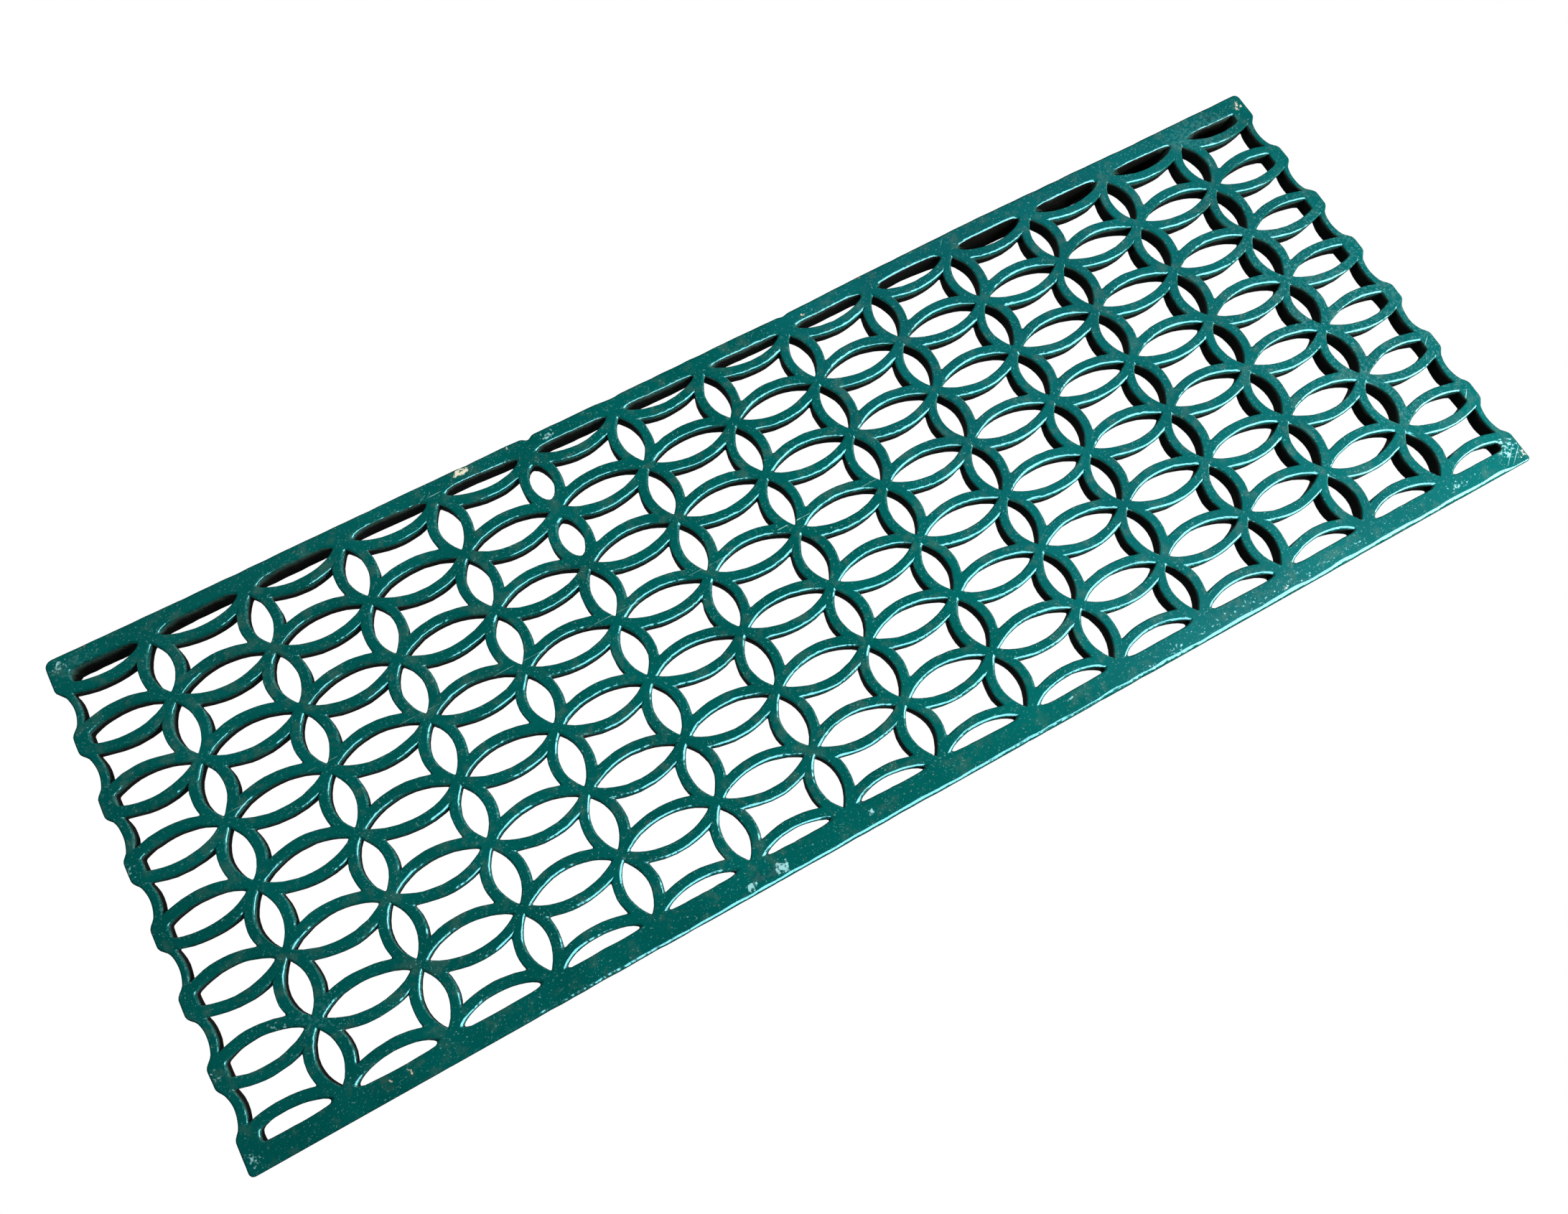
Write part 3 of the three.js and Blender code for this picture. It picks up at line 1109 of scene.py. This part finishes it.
    def outer_rim(self, outline: Outline) -> Array:
        """Carries the outer edge down through the casting.

        Args:
            outline: The outer edge in plan.

        Returns:
            Its points as steps of the section by points by X, Y and height.
        """
        points = outline.points()
        normals = outline.normals(points)
        from_end = np.minimum(points[:, 0], self.lattice.length - points[:, 0])
        near = smooth_step((-9 - points[:, 1]) / 4) * smooth_step((from_end - 5) / 14)
        widest = np.interp(points[:, 0] / self.lattice.length, (0, 1), self.near_rail_fillets)
        fillet = self.outer_edge.fillet + (widest - self.outer_edge.fillet) * near
        fillet = self.fillet_at(fillet, points[:, 0], points[:, 1])
        layers = []
        for depth, unit, fixed in self.outer_edge.steps(self.thickness):
            moved = points - normals * (fillet * unit + fixed)[:, None]
            below = -depth if depth < 0 else fillet * depth
            x, y = moved[:, 0], moved[:, 1]
            layers.append(np.column_stack([x, y, self.height(x, y, below)]))
        return np.stack(layers)

    def inner_points(self, outline: Outline, spacing: float, worn: tuple[WornPlace, ...]) -> Array:
        """Strews points over the flat iron of a face, closer together at worn places.

        Args:
            outline: The outer edge in plan.
            spacing: Distance between points.
            worn: Worn places that get more points.

        Returns:
            Plan points well inside the iron.
        """
        plan = self.lattice
        columns = np.arange(4, plan.length - 3, spacing)
        rows = np.arange(outline.near_edge + 3, plan.width + 15, spacing * 0.87)
        grid_x, grid_y = np.meshgrid(columns, rows)
        grid_x = grid_x + (np.arange(len(rows)) % 2)[:, None] * spacing / 2
        sets = [np.column_stack([grid_x.ravel(), grid_y.ravel()])]
        for place in worn:
            base = plan.width if place.row is Row.FAR else 0.0
            fine_x, fine_y = np.meshgrid(
                np.arange(place.x_from - 1, place.x_to + 1, self.worn_grid),
                np.arange(place.y_from - 1, place.y_to + 1, self.worn_grid) + base,
            )
            sets.append(np.column_stack([fine_x.ravel(), fine_y.ravel()]) + 0.37)
        points = np.vstack(sets)
        x, y = points[:, 0], points[:, 1]
        depth = joined(plan.iron_depths(*plan.drifted(x, y)), 0.4)
        left = x - outline.left_end.inside(plan, y)
        right = plan.length - outline.right_end.inside(plan, y) - x
        far = outline.far_at(x) - y
        near = y - outline.near_edge
        edge = np.min([left, right, far, near], axis=0)
        return points[(depth > self.opening_margin) & (edge > self.outer_margin)]

    @staticmethod
    def face(contours: list[Array], inner: Array) -> Array:
        """Fills the iron of a face with triangles.

        Args:
            contours: The closed edges of the face in plan, the outer one first.
            inner: Plan points between them.

        Returns:
            Triangles as numbers of points, contours first, anticlockwise.
        """
        points = np.vstack([*contours, inner])
        fences, start = [], 0
        for contour in contours:
            count = len(contour)
            fences.extend((start + i, start + (i + 1) % count) for i in range(count))
            start += count
        flat = [Vector((float(p[0]), float(p[1]))) for p in points]
        found = delaunay_2d_cdt(flat, fences, [], 0, 1e-5)
        source = [numbers[0] for numbers in found[3]]
        triangles = [tuple(source[v] for v in face) for face in found[2]]
        walls = {frozenset(pair) for pair in fences}
        beside = defaultdict(list)
        for number, corners in enumerate(triangles):
            for i in range(3):
                beside[frozenset((corners[i], corners[(i + 1) % 3]))].append(number)
        crossed = {}
        front = []
        for pair, numbers in beside.items():
            if len(numbers) == 1 and numbers[0] not in crossed:
                crossed[numbers[0]] = 1 if pair in walls else 0
                front.append(numbers[0])
        while front:
            number = front.pop()
            corners = triangles[number]
            for i in range(3):
                pair = frozenset((corners[i], corners[(i + 1) % 3]))
                for other in beside[pair]:
                    if other not in crossed:
                        crossed[other] = crossed[number] + (1 if pair in walls else 0)
                        front.append(other)
        kept = np.array([t for number, t in enumerate(triangles) if crossed[number] % 2 == 1])
        a, b, c = (points[kept[:, i]] for i in range(3))
        turned = (b[:, 0] - a[:, 0]) * (c[:, 1] - a[:, 1]) - (b[:, 1] - a[:, 1]) * (c[:, 0] - a[:, 0]) < 0
        kept[turned] = kept[turned][:, ::-1]
        return kept

    @staticmethod
    def rim_normals(rim: Array, outer: bool) -> Array:
        """Finds the normals along an edge, so that the fillet shades as round and the face beside it as flat.

        Args:
            rim: The edge as steps of the section by points.
            outer: Whether it is the outer edge of the casting.

        Returns:
            Normals in the same order.
        """
        normals = []
        for layer, tilt in zip(rim, EDGE_TURNS):
            step = np.roll(layer[:, :2], -1, axis=0) - np.roll(layer[:, :2], 1, axis=0)
            side = 1 if outer else -1
            open_side = side * np.column_stack([step[:, 1], -step[:, 0]])
            open_side /= np.linalg.norm(open_side, axis=1, keepdims=True)
            sine, cosine = math.sin(math.radians(tilt)), math.cos(math.radians(tilt))
            normals.append(np.column_stack([open_side * sine, np.full(len(layer), cosine)]))
        return np.stack(normals)

    def build(self, worn: tuple[WornPlace, ...]) -> bpy.types.Object:
        """Makes the casting's mesh.

        Args:
            worn: Worn places, which the mesh carries as masks.

        Returns:
            The casting as an object in the frame.
        """
        outline = Outline(self.lattice)
        rims = [self.outer_rim(outline)]
        for kind in OpeningKind:
            rims.extend(self.rims(kind))
        layers = len(rims[0])
        counts = [rim.shape[1] for rim in rims]
        edge_points = [np.vstack([rim[layer] for rim in rims]) for layer in range(layers)]
        ring_total = sum(counts)
        top_inner = self.inner_points(outline, self.face_grid, worn)
        low_inner = self.inner_points(outline, self.underside_grid, ())
        top_z = self.height(top_inner[:, 0], top_inner[:, 1], 0.0)
        vertices = np.vstack([
            *edge_points,
            np.column_stack([top_inner, top_z]),
            np.column_stack([low_inner, np.zeros(len(low_inner))]),
        ])
        triangles = [self.strips(counts, layers)]
        top = self.face([rim[0][:, :2] for rim in rims], top_inner)
        triangles.append(np.where(top < ring_total, top, top + ring_total * (layers - 1)))
        low = self.face([rim[-1][:, :2] for rim in rims], low_inner)
        shift = ring_total * (layers - 1)
        triangles.append(np.where(low < ring_total, low + shift, low + shift + len(top_inner))[:, ::-1])
        edge_normals = [self.rim_normals(rim, number == 0) for number, rim in enumerate(rims)]
        normals = np.vstack([
            *(np.vstack([edge[layer] for edge in edge_normals]) for layer in range(layers)),
            np.tile([0.0, 0.0, 1.0], (len(top_inner), 1)),
            np.tile([0.0, 0.0, -1.0], (len(low_inner), 1)),
        ])
        # How high the dark coat reaches: darker towards the bottom of the walls, with painted shade on walls
        # turned from the windows and in sharp corners, and less on the outer edge and the underside.
        darkening = np.ones(len(vertices))
        walls = slice(WALL_STEP * ring_total, (layers - 1) * ring_total)
        corners = np.concatenate([self.shade_corners(rim[WALL_STEP][:, :2]) for rim in rims])
        corners = np.tile(corners, layers - 1 - WALL_STEP)
        darkening[walls] = self.grime_and_shade.on_walls(self.lattice.width, vertices[walls], normals[walls], corners)
        for start in range(0, layers * ring_total, ring_total):
            darkening[start : start + counts[0]] = self.grime_and_shade.outer
        darkening[(layers - 1) * ring_total : layers * ring_total] = self.grime_and_shade.underside
        darkening[len(vertices) - len(low_inner) :] = self.grime_and_shade.underside
        return self.to_object(vertices, np.vstack(triangles), normals, darkening, worn)

    @staticmethod
    def shade_corners(points: Array) -> Array:
        """Finds where an edge turns sharply, for painted shade in the corners.

        Args:
            points: Plan points of the closed edge.

        Returns:
            For each point, from 0 on an even edge to 1 in a corner.
        """
        back, ahead = np.roll(points, 2, axis=0) - points, np.roll(points, -2, axis=0) - points
        lengths = np.linalg.norm(back, axis=1) * np.linalg.norm(ahead, axis=1)
        return smooth_step(((back * ahead).sum(axis=1) / lengths + 0.8) / 0.7)

    @staticmethod
    def strips(counts: list[int], layers: int) -> Array:
        """Joins the steps of every edge with triangles.

        Args:
            counts: Points in each closed edge, the outer one first.
            layers: Steps of the section.

        Returns:
            Triangles as numbers of points.
        """
        total = sum(counts)
        here, after = [], []
        start = 0
        for number, count in enumerate(counts):
            ring = start + np.arange(count)
            ahead = np.roll(ring, -1)
            here.append(ring if number == 0 else ahead)
            after.append(ahead if number == 0 else ring)
            start += count
        a, b = np.concatenate(here), np.concatenate(after)
        found = []
        for layer in range(layers - 1):
            up, down = layer * total, (layer + 1) * total
            found.append(np.column_stack([a + up, a + down, b + down]))
            found.append(np.column_stack([a + up, b + down, b + up]))
        return np.vstack(found)

    def to_object(
        self, vertices: Array, triangles: Array, normals: Array, darkening: Array, worn: tuple[WornPlace, ...]
    ) -> bpy.types.Object:
        """Turns the casting into a Blender object in the frame's metres.

        Args:
            vertices: Points in millimetres from the first node.
            triangles: Their triangles.
            normals: A normal for each point.
            darkening: How high up the walls the dark coat reaches at each point, 1 in an ordinary opening;
                partly painted shade.
            worn: Worn places.

        Returns:
            The object.
        """
        low, high = (np.array(corner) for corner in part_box("floor_grille"))
        placed = vertices.copy()
        placed[:, :2] -= PLAN_LOW
        placed = np.clip(placed * MM + low, low, high)  # takes off rounding alone
        mesh = bpy.data.meshes.new("grille_casting")
        mesh.from_pydata(placed.tolist(), [], triangles.tolist())
        mesh.shade_smooth()
        mesh.normals_split_custom_set_from_vertices(normals.tolist())
        on_face = np.clip((vertices[:, 2] - self.thickness + 4.0) / 2.0, 0, 1)
        carried = {wear.value: np.zeros(len(vertices)) for wear in Wear}
        for place in worn:
            mask = place.mask(self.lattice, vertices[:, 0], vertices[:, 1]) * on_face
            carried[place.wear.value] = np.maximum(carried[place.wear.value], mask)
        carried[DARKENING] = darkening
        for name, values in carried.items():
            layer = mesh.attributes.new(name, "FLOAT", "POINT")
            layer.data.foreach_set("value", values.astype(np.float32))
        mesh.update()
        return add_object("grille_casting", mesh)

    def dress(self, casting: bpy.types.Object, finish: TealEnamel) -> None:
        """Paints the casting and puts it in the CAD node's place.

        Args:
            casting: The casting.
            finish: Its paint.
        """
        casting.data.materials.append(finish.build())
        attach(casting, "root")
        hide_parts("floor_grille")


# What has happened, on which rail or beside it, along the grille, across it, and how strongly. A few places
# are painted sheen and sparkle, marked below.
WORN_PLACES = (
    # painted sheen: a pale cyan haze over the whole right end, standing for the windows' mottled reflection
    WornPlace(Wear.BLOOM, Row.NEAR, 740, 1000, -60, 330, 0.65),
    WornPlace(Wear.BLOOM, Row.NEAR, 45, 90, 28, 62, 0.7),
    WornPlace(Wear.BLOOM, Row.FAR, -5, 45, -8, 16, 0.7),
    WornPlace(Wear.BLOOM, Row.FAR, 820, 925, -20, 20, 0.8),
    WornPlace(Wear.CHIP, Row.FAR, 275, 292, 7.5, 12.5),
    WornPlace(Wear.CHIP, Row.FAR, 317, 321, 9, 12, 0.8),
    WornPlace(Wear.SCUFF_AND_SPARKLE, Row.FAR, 340, 352, 4.5, 9, 0.9),
    WornPlace(Wear.CHIP, Row.FAR, 536, 547, 4, 7, 0.6),
    WornPlace(Wear.RUST, Row.FAR, 165, 175, 8, 10, 0.5),
    WornPlace(Wear.RUST, Row.FAR, 25, 33, 12, 15, 0.7),
    WornPlace(Wear.RUST, Row.FAR, 586, 593, 12, 14.5, 0.7),
    WornPlace(Wear.RUST, Row.FAR, 726, 738, 13, 15, 0.6),
    WornPlace(Wear.STAIN, Row.FAR, 860, 905, -2, 12, 0.6),
    WornPlace(Wear.CHIP, Row.FAR, 906, 914, 2, 11, 0.7),
    WornPlace(Wear.SCUFF_AND_SPARKLE, Row.FAR, 3, 22, 2, 15, 0.58),
    WornPlace(Wear.SCUFF_AND_SPARKLE, Row.NEAR, 4, 13, -13, -2, 0.7),
    WornPlace(Wear.CHIP, Row.NEAR, 90, 96, -7, -3.5, 0.6),
    WornPlace(Wear.CHIP, Row.NEAR, 99, 108, -7, -3.5, 0.6),
    WornPlace(Wear.SCUFF_AND_SPARKLE, Row.NEAR, 318, 326, -13, -7),
    WornPlace(Wear.SCUFF_AND_SPARKLE, Row.NEAR, 337, 349, -13, -4),
    WornPlace(Wear.STAIN, Row.NEAR, 318, 352, -13, -3, 0.7),
    WornPlace(Wear.SCUFF_AND_SPARKLE, Row.NEAR, 404, 410, -8, -3, 0.7),
    WornPlace(Wear.SCUFF_AND_SPARKLE, Row.NEAR, 545, 560, -6, -3, 0.6),
    # painted sheen: these two pale patches stand for the windows' reflection on the near rail
    WornPlace(Wear.SCUFF_AND_SPARKLE, Row.NEAR, 606, 613, -14.5, -10, 0.5),
    WornPlace(Wear.SCUFF_AND_SPARKLE, Row.NEAR, 619, 638, -15, -3, 0.5),
    WornPlace(Wear.CHIP, Row.NEAR, 906, 916, -14, -4, 0.52),
    WornPlace(Wear.SCUFF_AND_SPARKLE, Row.NEAR, 892, 918, -14, 12, 0.62),
    # painted sparkle: pale streaks along the near rail that stand for the windows' broken reflection
    WornPlace(Wear.SCUFF_AND_SPARKLE, Row.NEAR, 560, 870, -14, -2, 0.4),
    WornPlace(Wear.SCUFF_AND_SPARKLE, Row.NEAR, 2, 12, 35, 50, 0.62),
    WornPlace(Wear.SCUFF_AND_SPARKLE, Row.NEAR, 20, 66, 42, 56, 0.5),
    WornPlace(Wear.SCUFF_AND_SPARKLE, Row.NEAR, 2, 12, 164, 178, 0.6),
    WornPlace(Wear.CHIP, Row.NEAR, 710, 719, -12, -6, 0.42),
    WornPlace(Wear.SCUFF_AND_SPARKLE, Row.NEAR, 845, 871, -11, -3, 0.6),
)


@dataclass(frozen=True)
class StudioFloor:
    """A plain white floor that the grille lies on, a hair lower so that the two faces never meet."""

    size: float = 12.0
    gap: float = 0.0004
    colour: str = "#FFFFFF"

    def build(self) -> None:
        """Lays the floor, which glows evenly white and neither lights nor shades the grille."""
        half = self.size / 2
        mesh = bpy.data.meshes.new("studio_floor")
        corners = [(x * half, y * half, -self.gap) for x, y in ((-1, -1), (1, -1), (1, 1), (-1, 1))]
        mesh.from_pydata(corners, [], [(0, 1, 2, 3)])
        floor = add_object("studio_floor", mesh)
        material = bpy.data.materials.new("white_paper")
        tree = empty_tree(material)
        glow = add_node(tree, "ShaderNodeEmission", {"Color": linear(self.colour), "Strength": 1.0})
        add_node(tree, "ShaderNodeOutputMaterial", {"Surface": glow})
        mesh.materials.append(material)
        floor.visible_diffuse = False
        floor.visible_glossy = False
        floor.visible_transmission = False
        floor.visible_shadow = False
        floor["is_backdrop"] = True


@dataclass(frozen=True)
class Softbox:
    """A soft light, in metres and watts."""

    name: str
    place: tuple[float, float, float]
    width: float
    height: float
    power: float
    colour: str = "#FFFFFF"
    aim: tuple[float, float, float] = (0.0, 0.0, 0.0)
    mirrored: bool = True  # whether the gloss shows it
    lighting: bool = True  # whether it also lights the paint itself

    def build(self) -> None:
        """Hangs the light."""
        lamp = bpy.data.lights.new(self.name, "AREA")
        lamp.shape = "RECTANGLE"
        lamp.size = self.width
        lamp.size_y = self.height
        lamp.energy = self.power
        lamp.color = linear(self.colour)[:3]
        light = add_object(self.name, lamp)
        light.location = self.place
        light.rotation_euler = (Vector(self.place) - Vector(self.aim)).to_track_quat("Z", "Y").to_euler()
        light.visible_glossy = self.mirrored
        light.visible_diffuse = self.lighting


@dataclass(frozen=True)
class Studio:
    """A dim studio with a window at the right, one at the near side and a pale wall."""

    lights: tuple[Softbox, ...] = (
        Softbox("window_light", (0.75, -0.62, 0.62), 0.8, 0.95, 46.0, mirrored=False),
        Softbox("window", (0.75, -0.62, 0.61), 0.7, 0.88, 54.0, lighting=False),
        Softbox("near_window", (0.1, -0.99, 0.64), 0.7, 0.75, 42.0, lighting=False),
        Softbox("right_wall", (1.26, 0.27, 1.53), 2.2, 0.95, 4.5, "#9CC4FF"),
        Softbox("far_fill", (-0.45, 0.85, 0.9), 0.8, 0.8, 15.0, aim=(-0.1, 0.0, 0.0), mirrored=False),
    )
    dimness: float = 0.02  # the world's light on the grille
    backdrop: float = 1.0  # the same world as the camera sees it

    def build(self) -> None:
        """Darkens the world and hangs the lights."""
        world = bpy.data.worlds.new("dim_studio")
        tree = empty_tree(world)
        dim, seen = (
            add_node(tree, "ShaderNodeBackground", {"Color": linear("#FFFFFF"), "Strength": strength})
            for strength in (self.dimness, self.backdrop)
        )
        by_camera = add_node(tree, "ShaderNodeLightPath").outputs["Is Camera Ray"]
        mixed = add_node(tree, "ShaderNodeMixShader", {0: by_camera, 1: dim, 2: seen})
        add_node(tree, "ShaderNodeOutputWorld", {"Surface": mixed})
        bpy.context.scene.world = world
        for light in self.lights:
            light.build()
        bpy.context.scene.view_settings.view_transform = "Standard"


@dataclass(frozen=True)
class ViewCamera:
    """The camera where the photographer stood, in metres and degrees."""

    place: tuple[float, float, float] = (-0.213988, -0.172503, 0.729817)
    turns: tuple[float, float, float] = (17.021823, -0.927537, -28.441106)
    lens: float = 27.3181
    sensor: float = 36.0
    shift_x: float = 0.0740
    nearest: float = 0.01

    def build(self) -> None:
        """Sets up the camera."""
        data = bpy.data.cameras.new("view_camera")
        data.sensor_fit = "HORIZONTAL"
        data.sensor_width = self.sensor
        data.lens = self.lens
        data.shift_x = self.shift_x
        data.clip_start = self.nearest
        camera = add_object("view_camera", data)
        camera.location = self.place
        camera.rotation_euler = [math.radians(turn) for turn in self.turns]
        bpy.context.scene.camera = camera


def main() -> None:
    """Builds the grille, its floor, lights and camera in order."""
    logging.basicConfig(level=logging.INFO, format="%(message)s")
    ViewCamera().build()
    StudioFloor().build()
    Studio().build()
    grille = GrilleCasting()
    casting = grille.build(WORN_PLACES)
    LOG.info("grille_casting: %d triangles", len(casting.data.polygons))
    grille.dress(casting, TealEnamel())
    boxes = {"cad": CAD_BOX, "visual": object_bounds()}
    boxes = {name: [list(corner) for corner in box] for name, box in boxes.items()}


if __name__ == "__main__":
    main()
